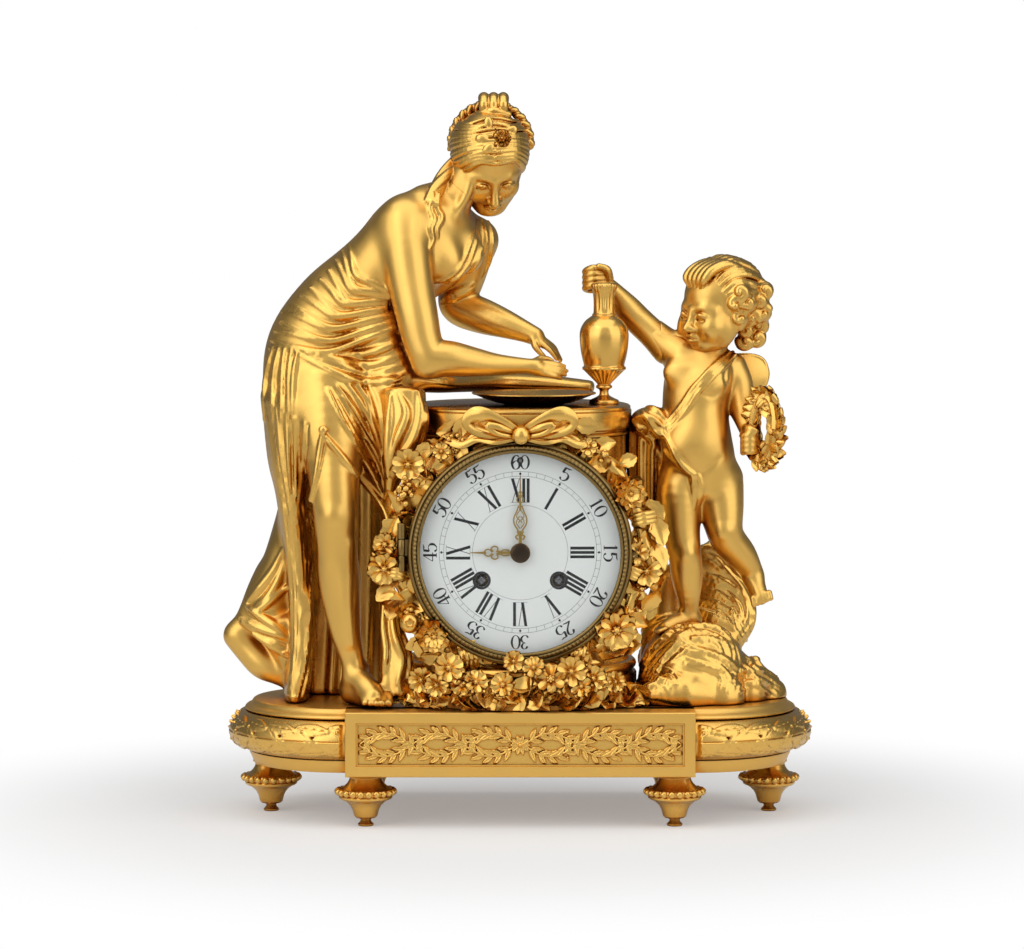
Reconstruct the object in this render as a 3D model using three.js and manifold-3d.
// Gilt bronze mantel clock: a draped woman leans over a round pedestal that holds the clock, and a winged
// child stands on a cloud beside it. Millimetres, +Z up, the front faces -Y, the origin is on the standing
// plane under the middle of the base.
import * as THREE from "three";
import { mergeVertices } from "three/addons/utils/BufferGeometryUtils.js";
import Module from "manifold-3d";

const wasm = await Module();
wasm.setup();

// Driving dimensions
const GAP = 0.3; // seat clearance between two castings
const RUN = 0.35; // radial running clearance of an arbor or pin in its hole
const FAR = 400; // longer than any piece, for cutting tools
const ROUND = 20; // facets of every round piece that shares the dial's or the pedestal's axis

// The clock case, which sets the size of the pedestal and of the base under it
const TUBE_RADIUS = 59;
const PEDESTAL_RADIUS = TUBE_RADIUS + 3;

// Base and feet
const FOOT_HEIGHT = 30;
const FOOT_BEAD_RADIUS = 17.8;
const BASE_HEIGHT = 37;
const BASE_CORE_RADIUS = PEDESTAL_RADIUS - 5; // round ends, under the carved bands
const BASE_END_X = 100; // centres of the two round ends
const BAND_RADIUS = BASE_CORE_RADIUS + 12.5; // carved bands on the round ends
const BAND_HEIGHT = 23;
const BAND_Z = 8; // bottom of the bands above the underside of the base
const BLOCK_HALF_WIDTH = BASE_END_X - 0.3; // breakfront blocks, front and back
const BLOCK_FRONT = BASE_CORE_RADIUS + 17;
const BASE_WALL = 8;
const FRIEZE_MARGIN = 7;
const FRIEZE_DEPTH = 3;
const FRIEZE_PLATE = 1.6;
const FOOT_INSET_X = 11.2; // block edge to front foot centre
const FOOT_INSET_Y = 16; // block face to front foot centre
const END_FOOT_OUT = BASE_CORE_RADIUS - 11; // round end's centre to its foot

// Pedestal, with room for the clock case that passes through its shaft
const PEDESTAL_WALL = 4;
const PEDESTAL_FOOT_RADIUS = PEDESTAL_RADIUS + 6.2;
const PEDESTAL_FOOT_HEIGHT = 26;
const PEDESTAL_CAP_RADIUS = PEDESTAL_RADIUS + 3;
const PEDESTAL_CAP_HEIGHT = 17.5;
const SHAFT_HEIGHT = 2 * TUBE_RADIUS + 10.4;

// Clock case, dial and bezel, measured from the pedestal's axis towards the front
const DIAL_HEIGHT = PEDESTAL_FOOT_HEIGHT + SHAFT_HEIGHT / 2 + 0.1; // dial centre above the base's top
const TUBE_WALL = 2.2;
const TUBE_FRONT = PEDESTAL_RADIUS - 6;
const TUBE_BACK = -PEDESTAL_RADIUS - 1;
const FLANGE_RADIUS = TUBE_RADIUS + 4.5;
const FLANGE_THICKNESS = 3;
const DIAL_RADIUS = TUBE_RADIUS + 1.5;
const DIAL_THICKNESS = 1.6;
const BEZEL_RADIUS = TUBE_RADIUS + 5.3;
const BEZEL_OPENING = TUBE_RADIUS - 2;
const BEZEL_DEPTH = 7.6;
const GLASS_THICKNESS = 1.6;
const GLASS_DOME = 2.6;
const WINDING_X = (22 / 59) * TUBE_RADIUS;
const WINDING_Y = (-16 / 59) * TUBE_RADIUS;
const WINDING_HOLE = 5.2;
const REGULATOR_Y = TUBE_RADIUS - 6.5;
const HINGE_X = -BEZEL_RADIUS - 3.3;
const HINGE_Y = 3;
const HINGE_KNUCKLE = 9;
const HINGE_RADIUS = 2.4;
const HINGE_PIN_RADIUS = 1;

// Movement, depths measured the same way
const BACK_PLATE_RADIUS = TUBE_RADIUS - TUBE_WALL - 1.8;
const PLATE_THICKNESS = 2;
const BACK_PLATE = 6;
const PLATE_SPACING = 32;
const ARBOR_RADIUS = 1.2;
const BARREL_ARBOR_RADIUS = 2.4;
const PILLAR_RADIUS = 2.8;
const PILLAR_PITCH = BACK_PLATE_RADIUS - 8; // centre to pillar
const TOOTH_TIP = 0.8; // addendum in modules
const TOOTH_ROOT = 1.2; // dedendum in modules
const BARREL_TEETH = 42;
const CENTRE_PINION_TEETH = 12;
const CENTRE_TEETH = 40;
const THIRD_PINION_TEETH = 8;
const THIRD_TEETH = 32;
const ESCAPE_PINION_TEETH = 8;
const ESCAPE_TEETH = 20;
const STRIKE_PINION_TEETH = 10;
const STRIKE_TEETH = 28;
const CANNON_TEETH = 10;
const MINUTE_TEETH = 30;
const MINUTE_PINION_TEETH = 8;
const HOUR_TEETH = 32;
const CENTRE_MODULE = 0.875;
const THIRD_MODULE = 0.864;
const STRIKE_MODULE = 0.85;
const CANNON_MODULE = 0.84;
const ESCAPE_RADIUS = 9;
const BELL_RADIUS = 36;
const BELL_DEPTH = 24;
const BELL_WALL = 1.8;
const PENDULUM_LENGTH = 90;
const BOB_RADIUS = 12;

// Levels that several pieces share
const BASE_TOP = FOOT_HEIGHT + BASE_HEIGHT;
const SHAFT_BOTTOM = BASE_TOP + PEDESTAL_FOOT_HEIGHT + GAP;
const CAP_BOTTOM = SHAFT_BOTTOM + SHAFT_HEIGHT;
const PEDESTAL_TOP = CAP_BOTTOM + PEDESTAL_CAP_HEIGHT;
const DIAL_Z = BASE_TOP + DIAL_HEIGHT;
const DIAL_BACK = TUBE_FRONT + FLANGE_THICKNESS + GAP;
const DIAL_FRONT = DIAL_BACK + DIAL_THICKNESS;
const BEZEL_BACK = DIAL_FRONT + GAP;
const BEZEL_FRONT = BEZEL_BACK + BEZEL_DEPTH;
const FRONT_PLATE = BACK_PLATE + PLATE_THICKNESS + PLATE_SPACING;
const MOTION = FRONT_PLATE + PLATE_THICKNESS;

// Finishes
const finish = (color, roughness, metalness) => {
  return new THREE.MeshStandardMaterial({ color, roughness, metalness });
};
const GILT = finish(0xd9a441, 0.28, 1);
const MATT_GILT = finish(0xc9973a, 0.42, 1);
const BRASS = finish(0xa98e4f, 0.38, 1);
const STEEL = finish(0x7d7f86, 0.35, 1);
const BELL_METAL = finish(0xb59a62, 0.3, 1);
const ENAMEL = finish(0xf4f4f0, 0.12, 0);
const GLASS = finish(0xf2f6f6, 0.03, 0);
GLASS.transparent = true;
GLASS.opacity = 0.2;

// Solids from closed surfaces
const v3 = (x, y, z) => new THREE.Vector3(x, y, z);

function closedMesh(geometry) {
  const bare = new THREE.BufferGeometry().setAttribute("position", geometry.getAttribute("position"));
  if (geometry.index) bare.setIndex(geometry.index);
  const merged = mergeVertices(bare, 1e-4);
  const position = merged.attributes.position;
  const corner = (i) => new THREE.Vector3().fromBufferAttribute(position, i);
  const faces = [];
  let volume = 0;
  for (let i = 0; i < merged.index.count; i += 3) {
    const [a, b, c] = [0, 1, 2].map((k) => merged.index.getX(i + k));
    if (a === b || b === c || c === a) continue;
    faces.push([a, b, c]);
    volume += corner(a).dot(corner(b).cross(corner(c)));
  }
  const triVerts = new Uint32Array(faces.flatMap(([a, b, c]) => (volume < 0 ? [a, c, b] : [a, b, c])));
  return new wasm.Mesh({ numProp: 3, vertProperties: new Float32Array(position.array), triVerts });
}

const solid = (geometry) => new wasm.Manifold(closedMesh(geometry));
const join = (...parts) => parts.flat().reduce((all, part) => all.add(part));
const cut = (body, ...tools) => tools.flat().reduce((rest, tool) => rest.subtract(tool), body);
// The outer skin alone: closed bubbles left between joined forms are filled, loose crumbs of a cut dropped
const whole = (body) => {
  return body.decompose().reduce((most, part) => (part.volume() > most.volume() ? part : most));
};

function geometryOf(body) {
  const mesh = body.getMesh();
  const position = new Float32Array(mesh.numVert * 3);
  for (let i = 0; i < mesh.numVert; i++) {
    position.set(mesh.vertProperties.subarray(i * mesh.numProp, i * mesh.numProp + 3), i * 3);
  }
  const places = new THREE.BufferAttribute(position, 3);
  const geometry = new THREE.BufferGeometry().setAttribute("position", places);
  return geometry.setIndex(new THREE.BufferAttribute(mesh.triVerts, 1)).toNonIndexed();
}

function piece(parent, name, body, material) {
  const geometry = geometryOf(body);
  geometry.computeVertexNormals();
  const mesh = new THREE.Mesh(geometry, material);
  mesh.name = name;
  parent.add(mesh);
  return mesh;
}

// A turned piece about the Z axis from [radius, height] points, closed on the axis or on itself
function turned(profile, segments) {
  const points = profile.map(([r, z]) => new THREE.Vector2(r, z));
  return solid(new THREE.LatheGeometry(points, segments).rotateX(Math.PI / 2));
}

const ringOf = (profile, segments) => turned([...profile, profile[0]], segments);

function disc(radius, z0, z1, segments, x = 0, y = 0) {
  const geometry = new THREE.CylinderGeometry(radius, radius, z1 - z0, segments).rotateX(Math.PI / 2);
  return solid(geometry.translate(x, y, (z0 + z1) / 2));
}

function box(x0, x1, y0, y1, z0, z1) {
  const geometry = new THREE.BoxGeometry(x1 - x0, y1 - y0, z1 - z0);
  return solid(geometry.translate((x0 + x1) / 2, (y0 + y1) / 2, (z0 + z1) / 2));
}

function plate(shape, z0, z1, curveSegments = 6) {
  const options = { depth: z1 - z0, bevelEnabled: false, curveSegments };
  return solid(new THREE.ExtrudeGeometry(shape, options).translate(0, 0, z0));
}

function ball(centre, rx, ry, rz, turn = [0, 0, 0], columns = 8, rows = 5) {
  const geometry = new THREE.SphereGeometry(1, columns, rows).scale(rx, ry, rz);
  const matrix = new THREE.Matrix4().makeRotationFromEuler(new THREE.Euler(...turn));
  return solid(geometry.applyMatrix4(matrix).translate(centre.x, centre.y, centre.z));
}

// A closed skin through rings of points, each end drawn to a tip
function loft(rings, startTip, endTip) {
  const sides = rings[0].length;
  const points = [startTip, ...rings.flat(), endTip];
  const last = points.length - 1;
  const index = [];
  for (let s = 0; s < sides; s++) {
    const t = (s + 1) % sides;
    index.push(0, 1 + t, 1 + s);
    for (let r = 0; r + 1 < rings.length; r++) {
      const a = 1 + r * sides;
      const b = a + sides;
      index.push(a + s, a + t, b + s, a + t, b + t, b + s);
    }
    index.push(last - sides + s, last - sides + t, last);
  }
  const geometry = new THREE.BufferGeometry().setFromPoints(points);
  return solid(geometry.setIndex(index));
}

// An oval ring with two half axes, and a form lofted through such rings: [centre, side axis, front axis]
function oval([centre, side, front], sides, wave = () => 1) {
  return Array.from({ length: sides }, (_, i) => {
    const a = (i / sides) * 2 * Math.PI;
    const k = wave(a);
    return centre.clone().addScaledVector(side, k * Math.cos(a)).addScaledVector(front, k * Math.sin(a));
  });
}

function body(sections, sides, wave) {
  const rings = sections.map((section) => oval(section, sides, wave));
  return loft(rings, sections[0][0], sections[sections.length - 1][0]);
}

// A round limb through points, with a radius at each and rounded ends
function limb(points, radii, sides = 7) {
  const count = points.length;
  const tangents = points.map((_, i) => {
    return points[Math.min(i + 1, count - 1)].clone().sub(points[Math.max(i - 1, 0)]).normalize();
  });
  let side = Math.abs(tangents[0].y) < 0.9 ? v3(0, 1, 0) : v3(1, 0, 0);
  const rings = points.map((point, i) => {
    side = side.clone().addScaledVector(tangents[i], -side.dot(tangents[i])).normalize();
    const front = tangents[i].clone().cross(side);
    return oval([point, side.clone().multiplyScalar(radii[i]), front.multiplyScalar(radii[i])], sides);
  });
  const roundness = 0.5;
  const startTip = points[0].clone().addScaledVector(tangents[0], -roundness * radii[0]);
  const endTip = points[count - 1].clone().addScaledVector(tangents[count - 1], roundness * radii[count - 1]);
  return loft(rings, startTip, endTip);
}

// Gears with pointed teeth
const pitchRadius = (teeth, module) => (teeth * module) / 2;

function gear(teeth, module, z0, z1, place, turn = 0) {
  const shape = new THREE.Shape();
  const pitch = pitchRadius(teeth, module);
  for (let i = 0; i < 2 * teeth; i++) {
    const r = pitch + (i % 2 ? -TOOTH_ROOT : TOOTH_TIP) * module;
    const a = (i * Math.PI) / teeth + turn;
    const method = i ? "lineTo" : "moveTo";
    shape[method](place.x + r * Math.cos(a), place.y + r * Math.sin(a));
  }
  return plate(shape, z0, z1);
}

// Turn of a pinion that puts a gap where the wheel, standing at angle "turn", has a tooth or a gap
function meshTurn(wheel, wheelTeeth, wheelTurn, pinion, pinionTeeth) {
  const line = Math.atan2(pinion.y - wheel.y, pinion.x - wheel.x);
  const phase = ((line - wheelTurn) * wheelTeeth) / (2 * Math.PI);
  return line + Math.PI + ((phase + 0.5) * 2 * Math.PI) / pinionTeeth;
}

const arbor = (place, z0, z1, radius = ARBOR_RADIUS) => disc(radius, z0, z1, 8, place.x, place.y);
const hole = (place, radius, z0, z1) => disc(radius + RUN, z0, z1, 8, place.x, place.y);

const clock = new THREE.Group();

// Base: a hollow block with round ends and breakfront blocks
const stadium = (radius, z, steps = 9) => {
  const half = (sign) =>
    Array.from({ length: steps + 1 }, (_, i) => {
      const a = (i / steps - 0.5) * Math.PI;
      return v3(sign * (BASE_END_X + radius * Math.cos(a)), sign * radius * Math.sin(a), z);
    });
  return [...half(1), ...half(-1)];
};

function stadiumBlock(profile) {
  const first = profile[0][1];
  const last = profile[profile.length - 1][1];
  return loft(profile.map(([r, z]) => stadium(r, z)), v3(0, 0, first), v3(0, 0, last));
}

function baseBlock() {
  const bottom = FOOT_HEIGHT;
  const bandLow = bottom + BAND_Z;
  const bandHigh = bandLow + BAND_HEIGHT;
  const core = stadiumBlock([
    [BASE_CORE_RADIUS - 1.5, bottom],
    [BASE_CORE_RADIUS, bottom + 2],
    [BASE_CORE_RADIUS + 1.5, bandLow - 2 * GAP],
    [BASE_CORE_RADIUS, bandLow - GAP],
    [BASE_CORE_RADIUS, bandHigh + GAP],
    [BASE_CORE_RADIUS + 3.5, bandHigh + 2 * GAP],
    [BASE_CORE_RADIUS + 1.5, BASE_TOP - 3],
    [BASE_CORE_RADIUS - 1, BASE_TOP - 1],
    [BASE_CORE_RADIUS - 3, BASE_TOP],
  ]);
  const blocks = box(-BLOCK_HALF_WIDTH, BLOCK_HALF_WIDTH, -BLOCK_FRONT, BLOCK_FRONT, bottom, BASE_TOP);
  const recess = box(
    -BLOCK_HALF_WIDTH + FRIEZE_MARGIN,
    BLOCK_HALF_WIDTH - FRIEZE_MARGIN,
    -BLOCK_FRONT - GAP,
    -BLOCK_FRONT + FRIEZE_DEPTH,
    bottom + FRIEZE_MARGIN,
    BASE_TOP - FRIEZE_MARGIN,
  );
  const inner = BASE_CORE_RADIUS - BASE_WALL;
  const hollow = stadiumBlock([
    [inner, bottom - GAP],
    [inner, BASE_TOP - BASE_WALL],
  ]);
  return cut(join(core, blocks), recess, hollow);
}

// A carved torus band round one end of the base
function endBand(sign) {
  const low = FOOT_HEIGHT + BAND_Z;
  const inner = BASE_CORE_RADIUS + GAP;
  const ring = ringOf(
    [
      [inner, low],
      [inner + 4, low],
      [BAND_RADIUS - 2.5, low + BAND_HEIGHT * 0.22],
      [BAND_RADIUS, low + BAND_HEIGHT * 0.5],
      [BAND_RADIUS - 2.5, low + BAND_HEIGHT * 0.78],
      [inner + 4, low + BAND_HEIGHT],
      [inner, low + BAND_HEIGHT],
    ],
    18,
  ).translate([sign * BASE_END_X, 0, 0]);
  const side = sign > 0 ? box(-FAR, BASE_END_X, -FAR, FAR, 0, FAR) : box(-BASE_END_X, FAR, -FAR, FAR, 0, FAR);
  return cut(ring, side);
}

// The laurel frieze: a chain of oval wreaths on a plate let into the front block
function friezePlate() {
  const halfWidth = BLOCK_HALF_WIDTH - FRIEZE_MARGIN - GAP;
  const low = FOOT_HEIGHT + FRIEZE_MARGIN + GAP;
  const high = BASE_TOP - FRIEZE_MARGIN - GAP;
  const back = -BLOCK_FRONT + FRIEZE_DEPTH - GAP;
  const face = back - FRIEZE_PLATE;
  const wreaths = 6;
  const pitch = (2 * halfWidth) / wreaths;
  const stem = 1.6;
  const relief = 1.2;
  const rings = Array.from({ length: wreaths }, (_, i) => {
    const shape = new THREE.Shape();
    const rx = pitch / 2 - stem / 4;
    const ry = (high - low) * 0.36;
    shape.absellipse(0, 0, rx, ry, 0, 2 * Math.PI, false, 0);
    const eye = new THREE.Path();
    eye.absellipse(0, 0, rx - stem, ry - stem, 0, 2 * Math.PI, true, 0);
    shape.holes.push(eye);
    const ring = plate(shape, -GAP, relief, 5).rotate([90, 0, 0]);
    return ring.translate([-halfWidth + (i + 0.5) * pitch, face, (low + high) / 2]);
  });
  const trim = box(-halfWidth, halfWidth, -FAR, FAR, low, high);
  return join(box(-halfWidth, halfWidth, face, back, low, high), rings).intersect(trim);
}

function foot() {
  return turned(
    [
      [0, 0],
      [4.2, 0],
      [2.8, FOOT_HEIGHT * 0.11],
      [6.3, FOOT_HEIGHT * 0.18],
      [8, FOOT_HEIGHT * 0.37],
      [12.3, FOOT_HEIGHT * 0.51],
      [FOOT_BEAD_RADIUS, FOOT_HEIGHT * 0.62],
      [FOOT_BEAD_RADIUS, FOOT_HEIGHT * 0.7],
      [12.3, FOOT_HEIGHT * 0.79],
      [9.4, FOOT_HEIGHT * 0.9],
      [10.6, FOOT_HEIGHT - GAP],
      [0, FOOT_HEIGHT - GAP],
    ],
    8,
  );
}

piece(clock, "base_block", baseBlock(), GILT);
piece(clock, "left_end_band", endBand(-1), MATT_GILT);
piece(clock, "right_end_band", endBand(1), MATT_GILT);
piece(clock, "front_frieze", friezePlate(), MATT_GILT);
const footX = BLOCK_HALF_WIDTH - FOOT_INSET_X;
const footY = BLOCK_FRONT - FOOT_INSET_Y;
const feet = {
  front_left_foot: [-footX, -footY],
  front_right_foot: [footX, -footY],
  back_left_foot: [-footX, footY],
  back_right_foot: [footX, footY],
  left_end_foot: [-BASE_END_X - END_FOOT_OUT, 0],
  right_end_foot: [BASE_END_X + END_FOOT_OUT, 0],
};
for (const [name, [x, y]] of Object.entries(feet)) piece(clock, name, foot().translate([x, y, 0]), GILT);

// Pedestal: a turned foot, a hollow shaft and a turned cap, cut where the clock case passes through
const frontward = (part) => part.rotate([90, 0, 0]).translate([0, 0, DIAL_Z]);

function pedestalFoot() {
  const low = BASE_TOP + GAP;
  const high = BASE_TOP + PEDESTAL_FOOT_HEIGHT;
  const bore = PEDESTAL_RADIUS - PEDESTAL_WALL;
  return ringOf(
    [
      [bore, low],
      [PEDESTAL_FOOT_RADIUS, low],
      [PEDESTAL_FOOT_RADIUS, high - 10],
      [PEDESTAL_FOOT_RADIUS - 2.5, high - 8.5],
      [PEDESTAL_FOOT_RADIUS - 0.8, high - 6],
      [PEDESTAL_FOOT_RADIUS - 2, high - 3],
      [PEDESTAL_RADIUS + 0.5, high],
      [bore, high],
    ],
    ROUND,
  );
}

function pedestalShaft() {
  const bore = PEDESTAL_RADIUS - PEDESTAL_WALL;
  const top = CAP_BOTTOM - GAP;
  const lip = bore - 12;
  const wall = ringOf(
    [
      [bore, SHAFT_BOTTOM + PEDESTAL_WALL],
      [lip, SHAFT_BOTTOM + PEDESTAL_WALL],
      [lip, SHAFT_BOTTOM],
      [PEDESTAL_RADIUS, SHAFT_BOTTOM],
      [PEDESTAL_RADIUS, top],
      [lip, top],
      [lip, top - PEDESTAL_WALL],
      [bore, top - PEDESTAL_WALL],
    ],
    ROUND,
  );
  const tunnel = frontward(disc(TUBE_RADIUS + GAP, -FAR / 2, FAR / 2, ROUND));
  const frontSeat = frontward(disc(BEZEL_RADIUS + 1, TUBE_FRONT - GAP, FAR / 2, ROUND));
  const backSeat = frontward(disc(TUBE_RADIUS + 6, -FAR / 2, TUBE_BACK + 6, ROUND));
  return cut(wall, tunnel, frontSeat, backSeat);
}

function pedestalCap() {
  const low = CAP_BOTTOM;
  return turned(
    [
      [0, low + 6],
      [PEDESTAL_RADIUS - PEDESTAL_WALL, low + 6],
      [PEDESTAL_RADIUS - PEDESTAL_WALL, low],
      [PEDESTAL_RADIUS, low],
      [PEDESTAL_RADIUS + 1.2, low + 2],
      [PEDESTAL_RADIUS + 0.4, low + 4],
      [PEDESTAL_CAP_RADIUS, low + 5],
      [PEDESTAL_CAP_RADIUS, PEDESTAL_TOP - 2.5],
      [PEDESTAL_CAP_RADIUS - 2.5, PEDESTAL_TOP],
      [0, PEDESTAL_TOP],
    ],
    ROUND,
  );
}

piece(clock, "pedestal_foot", pedestalFoot(), GILT);
piece(clock, "pedestal_shaft", pedestalShaft(), GILT);
piece(clock, "pedestal_cap", pedestalCap(), GILT);

// Clock case: a tube through the pedestal with a front flange, hinge knuckles and a slot for the pendulum
const upright = (part, x, y, z) => part.rotate([-90, 0, 0]).translate([x, y, z]);
const knuckle = (x, y0, y1, z, radius) => upright(disc(radius, y0, y1, 8), x, 0, z);
const hingeZ = BEZEL_BACK + 1.2;
const hingeLow = HINGE_Y - 1.5 * HINGE_KNUCKLE - GAP;
const backHingeX = TUBE_RADIUS + 3.2;
const backHingeZ = TUBE_BACK - GAP - 1.1;
const doorThickness = 2.2;

function caseTube() {
  const bore = TUBE_RADIUS - TUBE_WALL;
  const tube = ringOf(
    [
      [bore, TUBE_BACK],
      [TUBE_RADIUS, TUBE_BACK],
      [TUBE_RADIUS, TUBE_FRONT],
      [FLANGE_RADIUS, TUBE_FRONT],
      [FLANGE_RADIUS, TUBE_FRONT + FLANGE_THICKNESS],
      [bore, TUBE_FRONT + FLANGE_THICKNESS],
    ],
    ROUND,
  );
  const flangeFace = TUBE_FRONT + FLANGE_THICKNESS;
  const outer = HINGE_X - HINGE_RADIUS;
  const lugs = [0, 2].map((k) => {
    const y0 = hingeLow + k * (HINGE_KNUCKLE + GAP);
    const y1 = y0 + HINGE_KNUCKLE;
    const leaf = box(outer, -FLANGE_RADIUS + 3, y0, y1, TUBE_FRONT, flangeFace);
    const rise = box(outer, outer + HINGE_RADIUS * 1.8, y0, y1, TUBE_FRONT, hingeZ);
    return join(leaf, rise, knuckle(HINGE_X, y0, y1, hingeZ, HINGE_RADIUS));
  });
  const backLugs = [-1, 1].map((side) => {
    const y0 = side * (HINGE_KNUCKLE + GAP) - HINGE_KNUCKLE / 2;
    const y1 = y0 + HINGE_KNUCKLE;
    const arm = box(TUBE_RADIUS - 1.8, backHingeX + 1, y0, y1, TUBE_BACK, TUBE_BACK + 6);
    const rise = box(backHingeX - HINGE_RADIUS * 0.9, backHingeX + 1, y0, y1, backHingeZ, TUBE_BACK + 6);
    return join(arm, rise, knuckle(backHingeX, y0, y1, backHingeZ, HINGE_RADIUS));
  });
  const inside = disc(bore, TUBE_BACK - 6, FAR, ROUND);
  const pinHole = knuckle(HINGE_X, -FAR / 4, FAR / 4, hingeZ, HINGE_PIN_RADIUS + RUN);
  const backPinHole = knuckle(backHingeX, -FAR / 4, FAR / 4, backHingeZ, HINGE_PIN_RADIUS + RUN);
  const slot = box(-BOB_RADIUS - 9, BOB_RADIUS + 9, -FAR, -TUBE_RADIUS / 2, -7, 7);
  return cut(join(tube, lugs, backLugs), inside, pinHole, backPinHole, slot);
}

function bezelDoor() {
  const seat = BEZEL_OPENING + 2.4;
  const ring = ringOf(
    [
      [seat, BEZEL_BACK],
      [BEZEL_RADIUS, BEZEL_BACK],
      [BEZEL_RADIUS, BEZEL_BACK + 4],
      [BEZEL_RADIUS - 1.8, BEZEL_FRONT - 0.8],
      [BEZEL_OPENING + 3, BEZEL_FRONT],
      [BEZEL_OPENING, BEZEL_FRONT - 1.6],
      [BEZEL_OPENING, BEZEL_FRONT - 3],
      [seat, BEZEL_FRONT - 3],
    ],
    ROUND,
  );
  const y0 = hingeLow + HINGE_KNUCKLE + GAP;
  const y1 = y0 + HINGE_KNUCKLE;
  const leaf = box(HINGE_X, -BEZEL_RADIUS + 2.5, y0, y1, BEZEL_BACK, hingeZ + HINGE_RADIUS / 2);
  const pinHole = knuckle(HINGE_X, -FAR / 4, FAR / 4, hingeZ, HINGE_PIN_RADIUS + RUN);
  const catchLug = box(BEZEL_RADIUS - 1, BEZEL_RADIUS + 2.6, -3, 3, BEZEL_BACK, BEZEL_BACK + 3);
  return cut(join(ring, leaf, knuckle(HINGE_X, y0, y1, hingeZ, HINGE_RADIUS), catchLug), pinHole);
}

function bezelGlass() {
  const rim = BEZEL_OPENING + 2.4 - GAP;
  const top = BEZEL_FRONT - 3 - GAP;
  const rise = (r) => GLASS_DOME * (1 - (r / rim) ** 2);
  const radii = [0, rim * 0.6, rim];
  const outer = radii.map((r) => [r, top + rise(r)]);
  const inner = radii.map((r) => [r, top - GLASS_THICKNESS + rise(r)]).reverse();
  return turned([...outer, ...inner], ROUND);
}

function dialPlate() {
  const holes = [
    disc(4.6, 0, FAR, 12),
    disc(WINDING_HOLE, 0, FAR, 12, WINDING_X, WINDING_Y),
    disc(WINDING_HOLE, 0, FAR, 12, -WINDING_X, WINDING_Y),
    disc(2.1, 0, FAR, 8, 0, REGULATOR_Y),
  ];
  return cut(disc(DIAL_RADIUS, DIAL_BACK, DIAL_FRONT, ROUND), holes);
}

// Hands: pierced scroll hands drawn pointing up, with an eye at the pivot
function hand(length, eye, bore, z0, thickness) {
  const shape = new THREE.Shape();
  const half = [
    [eye, 0],
    [eye * 0.7, eye * 0.8],
    [1.1, eye * 1.25],
    [1, length * 0.36],
    [3.4, length * 0.46],
    [3.6, length * 0.56],
    [1.4, length * 0.68],
    [2.2, length * 0.76],
    [0.8, length * 0.86],
  ];
  shape.moveTo(0, -eye);
  shape.lineTo(eye * 0.75, -eye * 0.7);
  half.forEach(([x, y]) => shape.lineTo(x, y));
  shape.lineTo(0, length);
  half.reverse().forEach(([x, y]) => shape.lineTo(-x, y));
  shape.lineTo(-eye * 0.75, -eye * 0.7);
  const window = new THREE.Path();
  [[0, 0.44], [-1.9, 0.52], [0, 0.62], [1.9, 0.52]].forEach(([x, k], i) => {
    window[i ? "lineTo" : "moveTo"](x, k * length);
  });
  shape.holes.push(window);
  return cut(plate(shape, z0, z0 + thickness), disc(bore, 0, FAR, 12));
}

const CASE = new THREE.Group();
clock.add(CASE);
const place = (x, y) => new THREE.Vector2(x, y);
const CENTRE = place(0, 0);
const GOING = place(WINDING_X, WINDING_Y);
const STRIKE = place(-WINDING_X, WINDING_Y);
const barrelModule = (2 * GOING.length()) / (BARREL_TEETH + CENTRE_PINION_TEETH);
const thirdDistance = pitchRadius(CENTRE_TEETH + THIRD_PINION_TEETH, CENTRE_MODULE);
const THIRD = place(thirdDistance * Math.SQRT1_2, thirdDistance * Math.SQRT1_2);
const escapeDistance = pitchRadius(THIRD_TEETH + ESCAPE_PINION_TEETH, THIRD_MODULE);
const ESCAPE = place(0, THIRD.y + Math.sqrt(escapeDistance ** 2 - THIRD.x ** 2));
const anchorDrop = 1.5 * ESCAPE_RADIUS;
const ANCHOR = place(0, ESCAPE.y + anchorDrop);
const minuteDistance = pitchRadius(CANNON_TEETH + MINUTE_TEETH, CANNON_MODULE);
const MINUTE = place(0, -minuteDistance);
const hourModule = (2 * minuteDistance) / (MINUTE_PINION_TEETH + HOUR_TEETH);
const strikeDistance = pitchRadius(BARREL_TEETH + STRIKE_PINION_TEETH, barrelModule);
const strikeAngle = (100 * Math.PI) / 180;
const strikeOffset = place(strikeDistance * Math.cos(strikeAngle), strikeDistance * Math.sin(strikeAngle));
const STRIKE_WHEEL = STRIKE.clone().add(strikeOffset);
const HAMMER = place(-22, 36);
const REGULATOR = place(0, REGULATOR_Y);
const PIVOT_BACK = BACK_PLATE + 0.2;
const PIVOT_FRONT = MOTION - 0.2;
const cannonPipe = ARBOR_RADIUS + RUN + 0.9;
const hourPipe = cannonPipe + RUN + 0.9;
const hourHandZ = DIAL_FRONT + 1.3;
const minuteHandZ = hourHandZ + 1.3;
const handThickness = 0.7;
const collarZ = minuteHandZ + handThickness + GAP;
const going = {
  drum: BACK_PLATE + 4,
  teeth: BACK_PLATE + 20,
  wheel: BACK_PLATE + 26,
  third: BACK_PLATE + 30,
};
const toothWidth = 2.4;

function frontPlate() {
  const disk = disc(TUBE_RADIUS - TUBE_WALL - GAP, FRONT_PLATE, MOTION, ROUND);
  const pivots = [CENTRE, THIRD, ESCAPE, ANCHOR, STRIKE_WHEEL, HAMMER];
  const holes = pivots.map((at) => hole(at, ARBOR_RADIUS, 0, FAR));
  const barrels = [GOING, STRIKE].map((at) => hole(at, BARREL_ARBOR_RADIUS, 0, FAR));
  const stud = arbor(MINUTE, FRONT_PLATE, MOTION + 12);
  return join(cut(disk, holes, barrels, hole(REGULATOR, 0.9, 0, FAR)), stud);
}

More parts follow.
